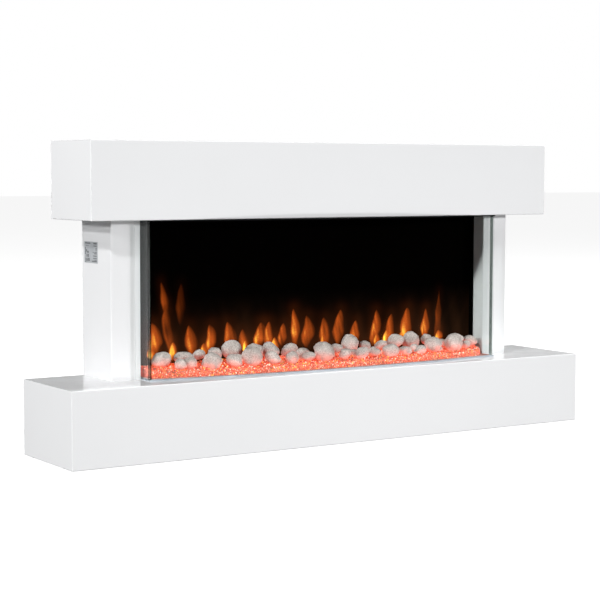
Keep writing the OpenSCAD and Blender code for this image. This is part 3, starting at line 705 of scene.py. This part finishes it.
def ink(name):
    m = Mat(name, rough=0.5, spec=0.3)
    grain = m.noise(900.0, 3.0, 0.7)
    m.feed("Base Color", m.ramp(grain, (0.35, (0.06, 0.065, 0.07)), (0.65, (0.26, 0.27, 0.28))))
    return m.mat


add_piece("label_print", label_print(), ink("label_ink"), smooth=False)

# ---------------------------------------------------------------- floor, world and lights

floor_mesh = bpy.data.meshes.new("floor")
FLOOR_HALF, FLOOR_Z = 30, -0.0006
floor_corners = [(x * FLOOR_HALF, y * FLOOR_HALF, FLOOR_Z) for x, y in ((-1, -1), (1, -1), (1, 1), (-1, 1))]
floor_mesh.from_pydata(floor_corners, [], [(0, 1, 2, 3)])
floor = bpy.data.objects.new("floor", floor_mesh)
scene.collection.objects.link(floor)
ground = Mat("pale_floor", color=(0.42, 0.42, 0.42), rough=0.9, spec=0.0)
ground.feed("Roughness", ground.span(ground.noise(3.0), 0.85, 0.95))
ground.bsdf.inputs["Emission Color"].default_value = (1, 1, 1, 1)
ground.bsdf.inputs["Emission Strength"].default_value = 0.86
floor_mesh.materials.append(ground.mat)
floor.visible_glossy = False
floor.visible_diffuse = False

# The studio round the object: white where the camera sees it. The light it sends is stronger from behind than from
# before, and mirrored rays find it black before, so that the glass stays clear.
BEHIND, BEFORE = 0.24, 0.055
world = bpy.data.worlds.new("studio")
scene.world = world
world.use_nodes = True
wt = world.node_tree
wt.nodes.clear()
w_coord = wt.nodes.new("ShaderNodeTexCoord")
w_split = wt.nodes.new("ShaderNodeSeparateXYZ")
wt.links.new(w_coord.outputs["Generated"], w_split.inputs[0])
w_path = wt.nodes.new("ShaderNodeLightPath")


def surround(before, behind):
    span = wt.nodes.new("ShaderNodeMapRange")
    for name, value in (("From Min", -0.35), ("From Max", 0.35), ("To Min", before), ("To Max", behind)):
        span.inputs[name].default_value = value
    wt.links.new(w_split.outputs["Y"], span.inputs["Value"])
    light = wt.nodes.new("ShaderNodeBackground")
    light.inputs["Color"].default_value = (1, 1, 1, 1)
    wt.links.new(span.outputs[0], light.inputs["Strength"])
    return light.outputs[0]


def either(ray, no, yes):
    mix = wt.nodes.new("ShaderNodeMixShader")
    wt.links.new(w_path.outputs[ray], mix.inputs[0])
    wt.links.new(no, mix.inputs[1])
    wt.links.new(yes, mix.inputs[2])
    return mix.outputs[0]


white = wt.nodes.new("ShaderNodeBackground")
white.inputs["Color"].default_value = (1, 1, 1, 1)
white.inputs["Strength"].default_value = 1.0
w_out = wt.nodes.new("ShaderNodeOutputWorld")
unseen = either("Is Glossy Ray", surround(BEFORE, BEHIND), surround(0.0, BEHIND))
wt.links.new(either("Is Camera Ray", unseen, white.outputs[0]), w_out.inputs[0])

AIM = Vector((0.0, 0.0, 0.3))


def softbox(name, place, toward, width, height, power):
    """A soft lamp at place, facing against toward. It lights the object but isn't mirrored in the glass."""
    data = bpy.data.lights.new(name, "AREA")
    data.shape = "RECTANGLE"
    data.size, data.size_y = width, height
    data.energy = power
    lamp = bpy.data.objects.new(name, data)
    scene.collection.objects.link(lamp)
    lamp.location = place
    lamp.rotation_mode = "QUATERNION"
    lamp.rotation_quaternion = toward.to_track_quat("Z", "Y")
    lamp.visible_glossy = False


# Lamps round the object: azimuth 0 is in front and positive to the right, then elevation, size and power.
LAMP_DISTANCE = 6.0
LAMPS = [
    ("left_high", -60, 35, 0.3, 140),
    ("left_middle", -75, 20, 0.3, 100),
    ("left_low", -82, 12, 0.3, 90),
    ("front", 0, 10, 0.3, 50),
    ("front_right", 30, 10, 0.3, 132),
    ("right", 90, 45, 0.5, 250),
]
for name, azimuth, elevation, size, power in LAMPS:
    a, e = math.radians(azimuth), math.radians(elevation)
    toward = Vector((math.sin(a) * math.cos(e), -math.cos(a) * math.cos(e), math.sin(e)))
    softbox(name, AIM + toward * LAMP_DISTANCE, toward, size, size, power)
softbox("foot_strip", Vector((0.1, -1.3, 0.04)), Vector((0, -1, 0)), 1.8, 0.06, 5.2)
